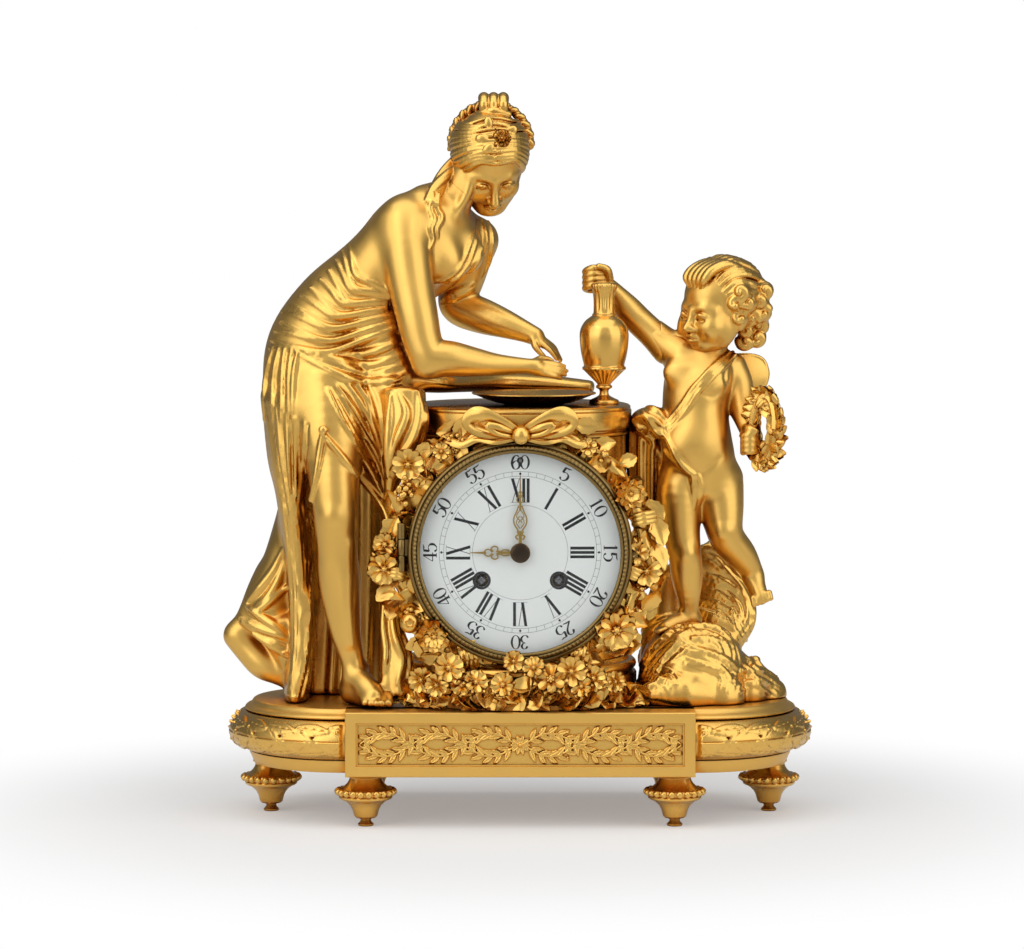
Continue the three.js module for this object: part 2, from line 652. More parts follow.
function backPlate() {
  const disk = disc(BACK_PLATE_RADIUS, BACK_PLATE, BACK_PLATE + PLATE_THICKNESS, ROUND);
  const pivots = [CENTRE, THIRD, ESCAPE, ANCHOR, STRIKE_WHEEL, HAMMER];
  const holes = pivots.map((at) => hole(at, ARBOR_RADIUS, 0, FAR));
  const barrels = [GOING, STRIKE].map((at) => hole(at, BARREL_ARBOR_RADIUS, 0, FAR));
  return cut(disk, holes, barrels, hole(REGULATOR, 0.9, 0, FAR));
}

function pillar(degrees) {
  const a = (degrees * Math.PI) / 180;
  const back = BACK_PLATE + PLATE_THICKNESS + GAP;
  const at = [PILLAR_PITCH * Math.cos(a), PILLAR_PITCH * Math.sin(a), 0];
  return turned(
    [
      [0, back],
      [PILLAR_RADIUS, back],
      [PILLAR_RADIUS * 0.7, back + PLATE_SPACING * 0.3],
      [PILLAR_RADIUS, back + PLATE_SPACING * 0.5],
      [PILLAR_RADIUS * 0.7, back + PLATE_SPACING * 0.7],
      [PILLAR_RADIUS, FRONT_PLATE - GAP],
      [0, FRONT_PLATE - GAP],
    ],
    8,
  ).translate(at);
}

// The going barrel has its teeth at the front and the strike barrel at the back, so both pass the centre
function barrel(at, toothZ) {
  const drumRadius = pitchRadius(BARREL_TEETH, barrelModule) - TOOTH_ROOT * barrelModule - 0.6;
  const drum = disc(drumRadius, going.drum, going.teeth + GAP, 20, at.x, at.y);
  const teeth = gear(BARREL_TEETH, barrelModule, toothZ, toothZ + toothWidth, at);
  return cut(join(drum, teeth), hole(at, BARREL_ARBOR_RADIUS, 0, FAR));
}

function windingArbor(at) {
  const shaft = arbor(at, PIVOT_BACK, DIAL_BACK - 2, BARREL_ARBOR_RADIUS);
  const square = solid(
    new THREE.CylinderGeometry(BARREL_ARBOR_RADIUS, BARREL_ARBOR_RADIUS, 3.5, 4)
      .rotateX(Math.PI / 2)
      .translate(at.x, at.y, DIAL_BACK - 0.5),
  );
  return join(shaft, square);
}

const pinionTurn = meshTurn(GOING, BARREL_TEETH, 0, CENTRE, CENTRE_PINION_TEETH);
const thirdPinionTurn = meshTurn(CENTRE, CENTRE_TEETH, 0, THIRD, THIRD_PINION_TEETH);
const escapePinionTurn = meshTurn(THIRD, THIRD_TEETH, 0, ESCAPE, ESCAPE_PINION_TEETH);
const strikePinionTurn = meshTurn(STRIKE, BARREL_TEETH, 0, STRIKE_WHEEL, STRIKE_PINION_TEETH);
const cannonTurn = meshTurn(MINUTE, MINUTE_TEETH, 0, CENTRE, CANNON_TEETH);
const minutePinionTurn = meshTurn(CENTRE, HOUR_TEETH, 0, MINUTE, MINUTE_PINION_TEETH);

function centreWheel() {
  const z = going.teeth;
  const pinion = gear(CENTRE_PINION_TEETH, barrelModule, z - 0.5, z + toothWidth + 0.5, CENTRE, pinionTurn);
  const wheel = gear(CENTRE_TEETH, CENTRE_MODULE, going.wheel, going.wheel + 1.6, CENTRE);
  const hub = disc(3, z, going.wheel + 1, 10);
  return join(arbor(CENTRE, PIVOT_BACK, collarZ + 0.8), pinion, wheel, hub);
}

function cannonPinion() {
  const teeth = gear(CANNON_TEETH, CANNON_MODULE, MOTION + 3, MOTION + 5, CENTRE, cannonTurn);
  const pipe = disc(cannonPipe, MOTION + 2, minuteHandZ + handThickness, 12);
  return cut(join(teeth, pipe), hole(CENTRE, ARBOR_RADIUS, 0, FAR));
}

function thirdWheel() {
  const pinionEnd = going.wheel + 2;
  const pinionStart = going.wheel - 0.4;
  const pinion = gear(THIRD_PINION_TEETH, CENTRE_MODULE, pinionStart, pinionEnd, THIRD, thirdPinionTurn);
  const wheel = gear(THIRD_TEETH, THIRD_MODULE, going.third, going.third + 1.6, THIRD);
  return join(arbor(THIRD, PIVOT_BACK, PIVOT_FRONT), pinion, wheel);
}

function escapeWheel() {
  const z = going.third;
  const pinion = gear(ESCAPE_PINION_TEETH, THIRD_MODULE, z - 0.4, z + 2, ESCAPE, escapePinionTurn);
  const shape = new THREE.Shape();
  for (let i = 0; i < ESCAPE_TEETH; i++) {
    const a = (i * 2 * Math.PI) / ESCAPE_TEETH;
    const lean = (1.4 * Math.PI) / ESCAPE_TEETH;
    shape[i ? "lineTo" : "moveTo"](ESCAPE_RADIUS * Math.cos(a), ESCAPE_RADIUS * Math.sin(a));
    shape.lineTo(ESCAPE_RADIUS * 0.74 * Math.cos(a + lean), ESCAPE_RADIUS * 0.74 * Math.sin(a + lean));
  }
  const wheel = plate(shape, BACK_PLATE + 8, BACK_PLATE + 9.4).translate([ESCAPE.x, ESCAPE.y, 0]);
  return join(arbor(ESCAPE, PIVOT_BACK, PIVOT_FRONT), pinion, wheel);
}

// The anchor hangs clear of the escape teeth over its whole swing
function palletAnchor() {
  const inner = ESCAPE_RADIUS + 1.5;
  const outer = inner + 2.2;
  const spread = 1.15;
  const shape = new THREE.Shape();
  shape.absarc(0, 0, outer, Math.PI / 2 - spread, Math.PI / 2 + spread, false);
  shape.absarc(0, 0, inner, Math.PI / 2 + spread, Math.PI / 2 - spread, true);
  const z = BACK_PLATE + 8;
  const arms = plate(shape, z, z + 1.4, 8).translate([ESCAPE.x, ESCAPE.y, 0]);
  const hub = disc(2.6, z, z + 1.4, 10, ANCHOR.x, ANCHOR.y);
  const crutchZ = BACK_PLATE - 4;
  const crutchEnd = ANCHOR.y - 30;
  const crutch = box(-1.2, 1.2, crutchEnd, ANCHOR.y + 2, crutchZ, crutchZ + 1.4);
  const fork = [-1, 1].map((side) => {
    const x = side * 2;
    return box(x - 0.6, x + 0.6, crutchEnd, crutchEnd + 2.4, -2.4, crutchZ + 1.4);
  });
  const bridge = box(-2.6, 2.6, crutchEnd, crutchEnd + 2.4, crutchZ, crutchZ + 1.4);
  return join(arbor(ANCHOR, crutchZ, PIVOT_FRONT), arms, hub, crutch, bridge, fork);
}

const cockBottom = ANCHOR.y + 3;
const suspensionCock = () =>
  cut(
    box(-6, 6, cockBottom, REGULATOR_Y + 2.6, -3, BACK_PLATE - GAP),
    hole(REGULATOR, 0.9, -1.2, FAR),
  );
const regulatorArbor = () => arbor(REGULATOR, -0.8, DIAL_FRONT + 0.4, 0.9);

function pendulum() {
  const bobY = ANCHOR.y - PENDULUM_LENGTH;
  const rod = upright(disc(1, bobY, ANCHOR.y - 2, 8), 0, 0, 0);
  const spring = box(-2.4, 2.4, ANCHOR.y - 3.5, cockBottom - GAP, -0.3, 0.3);
  const bob = turned(
    [
      [0, -3],
      [BOB_RADIUS * 0.7, -2.2],
      [BOB_RADIUS, -0.6],
      [BOB_RADIUS, 0.6],
      [BOB_RADIUS * 0.7, 2.2],
      [0, 3],
    ],
    20,
  ).translate([0, bobY, 0]);
  return join(rod, spring, bob);
}

function minuteWheel() {
  const wheel = gear(MINUTE_TEETH, CANNON_MODULE, MOTION + 3, MOTION + 4.6, MINUTE);
  const z = MOTION + 7.6;
  const pinion = gear(MINUTE_PINION_TEETH, hourModule, MOTION + 4, z + 2.4, MINUTE, minutePinionTurn);
  return cut(join(wheel, pinion), hole(MINUTE, ARBOR_RADIUS, 0, FAR));
}

function hourWheel() {
  const z = MOTION + 8;
  const wheel = gear(HOUR_TEETH, hourModule, z, z + 1.6, CENTRE);
  const pipe = disc(hourPipe, z, hourHandZ + handThickness, 12);
  return cut(join(wheel, pipe), disc(cannonPipe + RUN, 0, FAR, 12));
}

function strikeWheel() {
  const z = going.drum;
  const pinion = gear(STRIKE_PINION_TEETH, barrelModule, z - 0.4, z + 3, STRIKE_WHEEL, strikePinionTurn);
  const wheel = gear(STRIKE_TEETH, STRIKE_MODULE, going.third, going.third + 1.6, STRIKE_WHEEL);
  return join(arbor(STRIKE_WHEEL, PIVOT_BACK, PIVOT_FRONT), pinion, wheel);
}

const bellMouth = -10;
function bell() {
  const steps = [0, 30, 60, 90].map((d) => (d * Math.PI) / 180);
  const shell = (r, depth) => steps.map((a) => [r * Math.cos(a), bellMouth - depth * Math.sin(a)]);
  const outer = shell(BELL_RADIUS, BELL_DEPTH);
  const inner = shell(BELL_RADIUS - BELL_WALL, BELL_DEPTH - BELL_WALL).reverse();
  return cut(ringOf([...outer, ...inner], 18), disc(1.5 + RUN, -FAR, 0, 10));
}

const bellArm = bellMouth - BELL_DEPTH - GAP;
function bellStand() {
  const post = place(18, -43);
  const column = disc(2.4, bellArm - 3, BACK_PLATE - GAP, 10, post.x, post.y);
  const length = post.length();
  const beam = box(0, length, -2.5, 2.5, bellArm - 3, bellArm);
  const screw = disc(1.5, bellArm - 3, bellArm + BELL_WALL + 2, 10);
  const angle = (Math.atan2(post.y, post.x) * 180) / Math.PI;
  return join(column, beam.rotate([0, 0, angle]), screw);
}

function hammer() {
  const reach = place(-18.5, -33.2);
  const armZ = bellMouth - 4;
  const arm = box(0, reach.length(), -1.1, 1.1, armZ, armZ + 1.6);
  const angle = (Math.atan2(reach.y, reach.x) * 180) / Math.PI;
  const swung = arm.rotate([0, 0, angle]).translate([HAMMER.x, HAMMER.y, 0]);
  const head = ball(v3(HAMMER.x + reach.x, HAMMER.y + reach.y, armZ + 0.8), 3.6, 3.6, 3.6);
  return join(arbor(HAMMER, armZ, PIVOT_FRONT), swung, head);
}

function backDoor() {
  const face = TUBE_BACK - GAP;
  const cover = disc(TUBE_RADIUS - 0.4, face - doorThickness, face, ROUND);
  const slits = Array.from({ length: 8 }, (_, i) => {
    const slit = box(22, 40, -2.4, 2.4, face - 2 * doorThickness, face + doorThickness);
    return slit.rotate([0, 0, i * 45 + 22.5]);
  });
  const y1 = HINGE_KNUCKLE / 2;
  const leaf = box(TUBE_RADIUS - 4, backHingeX, -y1, y1, face - doorThickness, face);
  const middle = knuckle(backHingeX, -y1, y1, backHingeZ, HINGE_RADIUS);
  const pinHole = knuckle(backHingeX, -FAR / 4, FAR / 4, backHingeZ, HINGE_PIN_RADIUS + RUN);
  const knob = ball(v3(-TUBE_RADIUS + 8, 0, face - doorThickness - 2.4), 3.2, 3.2, 3.2);
  return cut(join(cut(cover, slits), leaf, middle, knob), pinHole);
}

const hingePin = (x, y, z) => {
  const half = 1.5 * HINGE_KNUCKLE + GAP;
  return knuckle(x, y - half, y + half, z, HINGE_PIN_RADIUS);
};

const works = (name, part, material) => piece(CASE, name, frontward(part), material);
works("case_tube", caseTube(), BRASS);
works("bezel_hinge_pin", hingePin(HINGE_X, HINGE_Y, hingeZ), STEEL);
works("bezel", bezelDoor(), BRASS);
works("bezel_glass", bezelGlass(), GLASS);
works("dial", dialPlate(), ENAMEL);
works("hour_hand", hand(28.5, 5.4, hourPipe + GAP, hourHandZ, handThickness).rotate([0, 0, 90]), GILT);
works("minute_hand", hand(44, 5, cannonPipe + GAP, minuteHandZ, handThickness), GILT);
works("hand_collet", cut(disc(3.6, collarZ, collarZ + 1.2, 14), hole(CENTRE, ARBOR_RADIUS, 0, FAR)), BRASS);
works("front_plate", frontPlate(), BRASS);
works("back_plate", backPlate(), BRASS);
[20, 160, 245, 295].forEach((degrees, i) => works(`pillar_${i + 1}`, pillar(degrees), BRASS));
works("going_barrel", barrel(GOING, going.teeth), BRASS);
works("going_arbor", windingArbor(GOING), STEEL);
works("centre_wheel", centreWheel(), BRASS);
works("cannon_pinion", cannonPinion(), STEEL);
works("third_wheel", thirdWheel(), BRASS);
works("escape_wheel", escapeWheel(), BRASS);
works("pallet_anchor", palletAnchor(), STEEL);
works("suspension_cock", suspensionCock(), BRASS);
works("regulator_arbor", regulatorArbor(), STEEL);
works("pendulum", pendulum(), BRASS);
works("minute_wheel", minuteWheel(), BRASS);
works("hour_wheel", hourWheel(), BRASS);
works("strike_barrel", barrel(STRIKE, going.drum), BRASS);
works("strike_arbor", windingArbor(STRIKE), STEEL);
works("strike_wheel", strikeWheel(), BRASS);
works("hammer", hammer(), STEEL);
works("bell", bell(), BELL_METAL);
works("bell_stand", bellStand(), STEEL);
works("back_door", backDoor(), BRASS);
works("back_hinge_pin", hingePin(backHingeX, 0, backHingeZ), STEEL);

// Places of the figures: "on" is height above the base's top, "up" is height above the pedestal's top
const on = (x, y, h) => v3(x, y, BASE_TOP + h);
const up = (x, y, h) => v3(x, y, PEDESTAL_TOP + h);
const around = (count, make) => Array.from({ length: count }, (_, i) => make(i, (i / count) * 2 * Math.PI));

// Room that the figures leave for the base, the pedestal and the garland
const GARLAND_RADIUS = BEZEL_RADIUS + 6.2;
const GARLAND_THICKNESS = 6.5;
const GARLAND_REACH = GARLAND_RADIUS + 15.5;
const GARLAND_MIDDLE = TUBE_FRONT - 1.5;
const GARLAND_BACK = TUBE_FRONT - 9;
const underBase = box(-FAR, FAR, -FAR, FAR, -FAR, BASE_TOP + GAP);
const pedestalRoom = join(
  disc(PEDESTAL_FOOT_RADIUS + 2 * GAP, BASE_TOP - 1, SHAFT_BOTTOM + GAP, ROUND),
  disc(PEDESTAL_CAP_RADIUS + 2 * GAP, BASE_TOP - 1, PEDESTAL_TOP + GAP, ROUND),
);
const insideGarland = disc(FLANGE_RADIUS - 8, 0, FAR / 2, ROUND);
const garlandRoom = frontward(
  disc(GARLAND_REACH + 1, GARLAND_BACK - 1, FAR / 4, ROUND).subtract(insideGarland),
);
const caseRoom = frontward(disc(TUBE_RADIUS + 1, TUBE_BACK - 10, FAR / 4, ROUND));
const fitted = (part) => cut(part, underBase, pedestalRoom, garlandRoom, caseRoom);

// Cast figures: cords, oval trunks and eggs, each a distance that is negative inside, run softly together
const CAST_EDGE = 5.6; // mesh size of the skin
const CAST_EASE = 1.4; // how far the skin may be straightened
const CAST_TRIM = 0.05; // slivers left by the cutting tools
const ACROSS = v3(0, 1, 0);
const ALONG = v3(1, 0, 0);
const ovalGap = (parts, sizes) => {
  const near = Math.hypot(...parts.map((q, k) => q / sizes[k]));
  const steep = Math.hypot(...parts.map((q, k) => q / sizes[k] ** 2));
  return (near * (near - 1)) / Math.max(steep, 1e-6);
};
const reachOf = (points, sizes) => {
  const reach = new THREE.Box3();
  points.forEach((at, i) => reach.union(new THREE.Box3(at, at).clone().expandByScalar(sizes[i])));
  return reach;
};

// A round cord through points
function cord(points, radii, soft) {
  const links = points.slice(1).map((to, i) => {
    const way = to.clone().sub(points[i]);
    return { from: points[i], way, length: way.lengthSq(), radius: radii[i], more: radii[i + 1] - radii[i] };
  });
  const gap = (at) => {
    const gaps = links.map(({ from, way, length, radius, more }) => {
      const off = at.clone().sub(from);
      const t = Math.min(Math.max(off.dot(way) / length, 0), 1);
      return off.addScaledVector(way, -t).length() - radius - t * more;
    });
    return Math.min(...gaps);
  };
  return { gap, soft, reach: reachOf(points, radii) };
}

// A trunk through sections: centre, way of its width, half width and half depth
function trunk(sections, soft) {
  const links = sections.slice(1).map(([to, side, wide, deep], i) => {
    const [from, sideFrom, wideFrom, deepFrom] = sections[i];
    const way = to.clone().sub(from);
    const axis = way.clone().normalize();
    const width = side.clone().add(sideFrom);
    width.addScaledVector(axis, -width.dot(axis)).normalize();
    const depth = axis.clone().cross(width);
    return { from, way, axis, width, depth, wideFrom, deepFrom, wide, deep };
  });
  const gap = (at) => {
    const gaps = links.map((link) => {
      const off = at.clone().sub(link.from);
      const t = Math.min(Math.max(off.dot(link.way) / link.way.lengthSq(), 0), 1);
      const wide = link.wideFrom + t * (link.wide - link.wideFrom);
      const deep = link.deepFrom + t * (link.deep - link.deepFrom);
      off.addScaledVector(link.way, -t);
      const parts = [link.width, link.depth, link.axis].map((line) => off.dot(line));
      return ovalGap(parts, [wide, deep, Math.min(wide, deep) / 2]);
    });
    return Math.min(...gaps);
  };
  const centres = sections.map(([at]) => at);
  const sizes = sections.map(([, , wide, deep]) => Math.max(wide, deep));
  return { gap, soft, reach: reachOf(centres, sizes) };
}

// An egg of three half sizes, on its own axes
function egg(centre, radii, soft, axes = [v3(1, 0, 0), v3(0, 1, 0), v3(0, 0, 1)]) {
  const gap = (at) => {
    const off = at.clone().sub(centre);
    return ovalGap(axes.map((line) => off.dot(line)), radii);
  };
  return { gap, soft, reach: reachOf([centre], [Math.max(...radii)]) };
}

function cast(forms) {
  const margin = 2 * CAST_EDGE;
  const near = forms.map(({ reach, soft }) => reach.clone().expandByScalar(soft + margin));
  const all = near.reduce((box, next) => box.union(next), new THREE.Box3());
  const depth = (p) => {
    const at = v3(...p);
    let gap = FAR;
    forms.forEach((form, i) => {
      if (!near[i].containsPoint(at)) return;
      const next = form.gap(at);
      const share = Math.max(form.soft - Math.abs(gap - next), 0);
      gap = Math.min(gap, next) - share ** 2 / (4 * form.soft);
    });
    return -gap;
  };
  const bounds = { min: all.min.toArray(), max: all.max.toArray() };
  return wasm.Manifold.levelSet(depth, bounds, CAST_EDGE).simplify(CAST_EASE);
}

// Woman: torso, head and skirt in one casting, with spigots' sockets for the two arms
const CHEST_SIDE = v3(0.66, 0.72, -0.22);
const WOMAN_HEAD_SCALE = 1.13;
const rightArmPath = [
  up(-66, -20, 106),
  up(-61, -32, 68),
  up(-54, -41, 33),
  up(-24, -39, 26),
  up(8, -34, 21.5),
];
const rightArmRadii = [11.5, 10.8, 9.8, 9, 5.3];
const leftArmPath = [up(-28, 20, 96), up(-36, 25, 72), up(-40, 26, 55), up(-16, 18, 44), up(10, 8, 37)];
const leftArmRadii = [11, 10, 9.2, 8, 5];
const grown = (radii) => radii.map((r) => r + 1.5 * GAP);

function womanTorso() {
  return [
    trunk(
      [
        [up(-117, 0, -3.2), ACROSS, 35, 31],
        [up(-118, 2, 15.8), ACROSS, 37, 32],
        [up(-115, 3, 32.8), v3(0.1, 0.99, 0), 36, 32],
        [up(-104, 3, 50.8), v3(0.25, 0.95, -0.1), 32, 30],
        [up(-89, 1, 64.8), v3(0.42, 0.88, -0.15), 30, 29],
        [up(-74, -1, 78.8), v3(0.58, 0.79, -0.2), 33, 26.5],
        [up(-61, -2, 90.8), CHEST_SIDE, 36, 26.5],
        [up(-51, -2, 101.8), CHEST_SIDE, 34, 23],
        [up(-44, -3, 111.8), CHEST_SIDE, 25, 17],
      ],
      4,
    ),
    cord([up(-68, -21, 103.8), up(-55, -14, 109.8), up(-42, -9, 112.8)], [12, 9, 7], 6),
    cord([up(-26, 20, 94.8), up(-34, 12, 104.8), up(-42, 2, 112.8)], [12, 9, 8], 6),
    egg(on(-33, 5, 284), [9, 9, 9.5], 5),
    egg(up(-64, -19, 104.8), [13.5, 13, 13], 4),
    egg(up(-27, 19, 96.8), [14, 13, 13], 4),
    egg(up(-43, -19, 81.8), [9.5, 8, 10], 8),
    egg(up(-29.5, -6, 86.8), [9, 8, 10], 8),
  ];
}

function womanHead() {
  const front = v3(0.16, -0.74, -0.65).normalize();
  const crown = v3(0.08, -0.62, 0.78);
  crown.addScaledVector(front, -crown.dot(front)).normalize();
  const axes = [crown.clone().cross(front), crown, front];
  const centre = up(-17.3, -4, 139.8);
  const at = (...steps) => {
    const place = centre.clone();
    steps.forEach((step, k) => place.addScaledVector(axes[k], step * WOMAN_HEAD_SCALE));
    return place;
  };
  return [
    cord(
      [
        up(-46, -4, 107.8),
        up(-40, -5, 116.8),
        up(-32.5, -7.5, 127.8),
        up(-25, -8, 140.8),
      ],
      [14, 11.5, 10.2, 11],
      6,
    ),
    cord([up(-66, -20, 112.8), up(-52, -8, 119.8), up(-40, 0, 123.8)], [5, 7, 6], 8),
    egg(at(0, 5, -4), [19, 21.5, 23.2], 2, axes),
    egg(at(0, -8, 4), [15.4, 17.2, 15.1], 5, axes),
    egg(at(0, -20, 10.4), [7, 5.6, 6], 5, axes),
    egg(at(0, 8, -6.5), [21.6, 20.8, 22.8], 2, axes),
    cord(
      [
        up(-40, 2, 152.8),
        up(-34.5, 2, 167.8),
        up(-17, 2, 175.3),
        up(0.5, 2, 167.8),
        up(6, 2, 152.8),
      ],
      [3.2, 3.4, 3.4, 3.4, 3.2],
      2,
    ),
    egg(up(-15, 1, 172.8), [8.5, 8.5, 6.2], 2),
    egg(up(-10.6, -24.5, 152.3), [6, 4, 6], 1),
    cord(
      [
        up(-36, -4, 138.8),
        up(-44, -11, 131.8),
        up(-50, -19, 123.8),
        up(-51.5, -24, 114.8),
      ],
      [5, 4.6, 4.4, 3.6],
      2,
    ),
  ];
}

function womanLegs() {
  return [
    cord(
      [
        up(-110, -18, 8.8),
        on(-108, -29, 155),
        on(-107, -38, 133),
        on(-106, -42, 115),
        on(-105.6, -42, 105),
        on(-105, -40, 91),
        on(-104.4, -38, 76),
        on(-103, -37, 61),
        on(-100.4, -36, 41),
        on(-97.5, -36, 29),
        on(-95.8, -36, 20),
        on(-96, -35, 13),
      ],
      [22, 18, 14.8, 13.1, 12.4, 11.6, 11.9, 11, 8.9, 7.2, 6.7, 6.9],
      4,
    ),
    egg(on(-107.5, -50.2, 111), [5.2, 5.2, 6.6], 4),
    egg(on(-101.5, -31, 73), [8.6, 8.4, 15], 5),
    cord([on(-98, -30, 9), on(-97, -34, 6.4), on(-91, -42, 5.6), on(-86, -52, 4.4)], [7, 6.6, 6, 5], 4),
    cord(
      [
        on(-95, -37, 17),
        on(-89, -45, 12.5),
        on(-83.5, -52, 7.5),
        on(-79, -56.5, 4.4),
      ],
      [6.8, 6.4, 5.2, 3.6],
      4,
    ),
    cord(
      [
        on(-164.2, 13, 34.5),
        on(-158.5, 12, 26),
        on(-151, 10, 18.5),
        on(-143, 8, 14),
        on(-136, 6, 9),
      ],
      [8.3, 9, 9.2, 7.6, 5.2],
      3,
    ),
    cord([on(-164, 13, 37), on(-156, 15, 50), on(-145, 18, 68)], [7.4, 8.5, 11], 5),
  ];
}

function womanSkirt() {
  return [
    trunk(
      [
        [up(-127, -2, 0.8), ACROSS, 35, 24],
        [on(-131, -2, 141), ACROSS, 33, 16.5],
        [on(-131, -3, 121), ACROSS, 31, 11.5],
        [on(-130, -3, 98), ACROSS, 29, 9.2],
        [on(-127.2, -4, 65), ACROSS, 28, 7.4],
        [on(-127.2, -5, 35), ACROSS, 28, 6.8],
        [on(-130.6, -6, 1), ACROSS, 29, 7.4],
      ],
      5,
    ),
    cord([up(-114, -12, 12.8), up(-111, -24, -5.2), on(-109, -31, 152)], [27, 21.5, 17], 5),
    trunk(
      [
        [up(-92, -20, 4.8), ACROSS, 14, 26],
        [on(-88, -22, 155), ACROSS, 11, 20],
        [on(-84, -23, 137), ACROSS, 9, 13.5],
        [on(-78, -23, 120), ACROSS, 7, 7.5],
        [on(-75.5, -23, 103), ACROSS, 5, 3.8],
      ],
      4,
    ),
    trunk(
      [
        [on(-104, 24, 158), ALONG, 32, 9],
        [on(-103, 28, 98), ALONG, 29, 7],
        [on(-104, 26, 48), ALONG, 29, 7],
        [on(-106, 18, 1), ALONG, 30, 11],
      ],
      4,
    ),
    trunk(
      [
        [on(-130, 16, 105), ACROSS, 20, 13],
        [on(-138, 16, 79), ACROSS, 18, 13],
        [on(-145, 15, 57), ACROSS, 17, 15.5],
        [on(-149, 13, 41), ACROSS, 15, 14],
      ],
      5,
    ),
    trunk(
      [
        [on(-140, 10, 41), ACROSS, 16, 15],
        [on(-138, 8, 28), ACROSS, 13, 9],
        [on(-136, 4, 15), ACROSS, 9, 4],
      ],
      4,
    ),
  ];
}

function hangingCloth() {
  return [
    egg(up(-84, -2, 41.8), [22, 25, 22], 8),
    egg(up(-80, -4, 20.8), [20, 24, 17], 8),
    egg(up(-74, 2, 56.8), [17, 23, 16], 8),
    cord([up(-77, -29, 12.8), on(-75.5, -33, 168), on(-77, -32, 152)], [7, 7.5, 6], 6),
    cord(
      [
        up(-100, -10, 56.8),
        up(-84, -15, 44.8),
        up(-74, -17, 28.8),
        up(-66, -20, 14.8),
      ],
      [16, 15, 14, 12],
      6,
    ),
    trunk(
      [
        [up(-66.5, -38, 7.8), ACROSS, 7.5, 12.5],
        [on(-66, -43, 163), ACROSS, 7.5, 12],
        [on(-68, -44, 147), ACROSS, 7, 9.5],
        [on(-73, -42, 132), ACROSS, 6, 5.5],
        [on(-75.5, -40, 119), ACROSS, 4.5, 3.4],
      ],
      3,
    ),
    trunk(
      [
        [on(-76.5, -26, 111), ACROSS, 5, 3.8],
        [on(-77.5, -32, 93), ACROSS, 5, 4],
        [on(-77.5, -34, 75), ACROSS, 5, 4.4],
        [on(-75.5, -36, 55), ACROSS, 6, 5.8],
        [on(-72, -40, 31), ACROSS, 6.5, 8.4],
        [on(-70.5, -43, 7), ACROSS, 7, 10.5],
      ],
      3,
    ),
    trunk(
      [
        [up(-72, -14, 16.8), ACROSS, 20, 8],
        [up(-56, -4, 14.3), ACROSS, 20, 7.5],
        [up(-38, 16, 12.3), ACROSS, 16, 6.5],
        [up(-14, 32, 11.3), ACROSS, 11, 6],
        [up(14, 36, 9.8), ACROSS, 9, 5.4],
        [up(42, 34, 7.8), ACROSS, 8, 4],
      ],
      4,
    ),
  ];
}

function womanBody() {
  const forms = [womanTorso(), womanHead(), womanLegs(), womanSkirt(), hangingCloth()].flat();
  const sockets = [limb(rightArmPath, grown(rightArmRadii)), limb(leftArmPath, grown(leftArmRadii))];
  const bowlTop = PEDESTAL_TOP + BASIN_HEIGHT + 1;
  const bowlRoom = disc(BASIN_RADIUS + 3 * GAP, PEDESTAL_TOP, bowlTop, ROUND, BASIN_X, BASIN_Y);
  return whole(cut(whole(fitted(cast(forms))), sockets, bowlRoom).simplify(CAST_TRIM));
}

// A hand: a palm and four fingers spread along "reach" with the thumb to one side
function openHand(wrist, reach, spread, thumb) {
  const at = (along, across) => wrist.clone().addScaledVector(reach, along).addScaledVector(spread, across);
  const palm = limb([at(-0.1, 0), at(0.25, 0), at(0.5, 0)], [5, 5.6, 4.6], 6);
  const fingers = [-1.5, -0.5, 0.5, 1.5].map((k) => {
    const length = 1 - 0.07 * Math.abs(k);
    return limb([at(0.4, k * 0.8), at(0.7, k * 0.9), at(length, k * 0.9)], [1.9, 1.7, 1.2], 4);
  });
  return join(palm, fingers, limb([at(0.1, 0), at(0.4, 0).add(thumb)], [2.6, 1.5], 4));
}

function womanRightArm() {
  const hand = openHand(rightArmPath.at(-1), v3(24, 4, -4), v3(0, 3, 0), v3(0, -5, -4));
  return join(limb(rightArmPath, rightArmRadii), hand);
}

function womanLeftArm() {
  const hand = openHand(leftArmPath.at(-1), v3(24, -8, -13), v3(0.6, 3, 0), v3(1, -4, 4));
  return join(limb(leftArmPath, leftArmRadii), hand);
}

const BASIN_X = 8;
const BASIN_Y = -14;
const BASIN_RADIUS = 36;
const BASIN_HEIGHT = 7;
const BASIN_WALL = 1.4;
function basin() {
  const low = PEDESTAL_TOP + GAP;
  return ringOf(
    [
      [0, low],
      [BASIN_RADIUS * 0.5, low],
      [BASIN_RADIUS * 0.62, low + 1],
      [BASIN_RADIUS * 0.9, low + BASIN_HEIGHT - 2.2],
      [BASIN_RADIUS, low + BASIN_HEIGHT - 1],
      [BASIN_RADIUS - 0.5, low + BASIN_HEIGHT],
      [BASIN_RADIUS * 0.88, low + BASIN_HEIGHT - 1],
      [BASIN_RADIUS * 0.58, low + 1 + BASIN_WALL],
      [0, low + BASIN_WALL],
    ],
    ROUND,
  ).translate([BASIN_X, BASIN_Y, 0]);
}

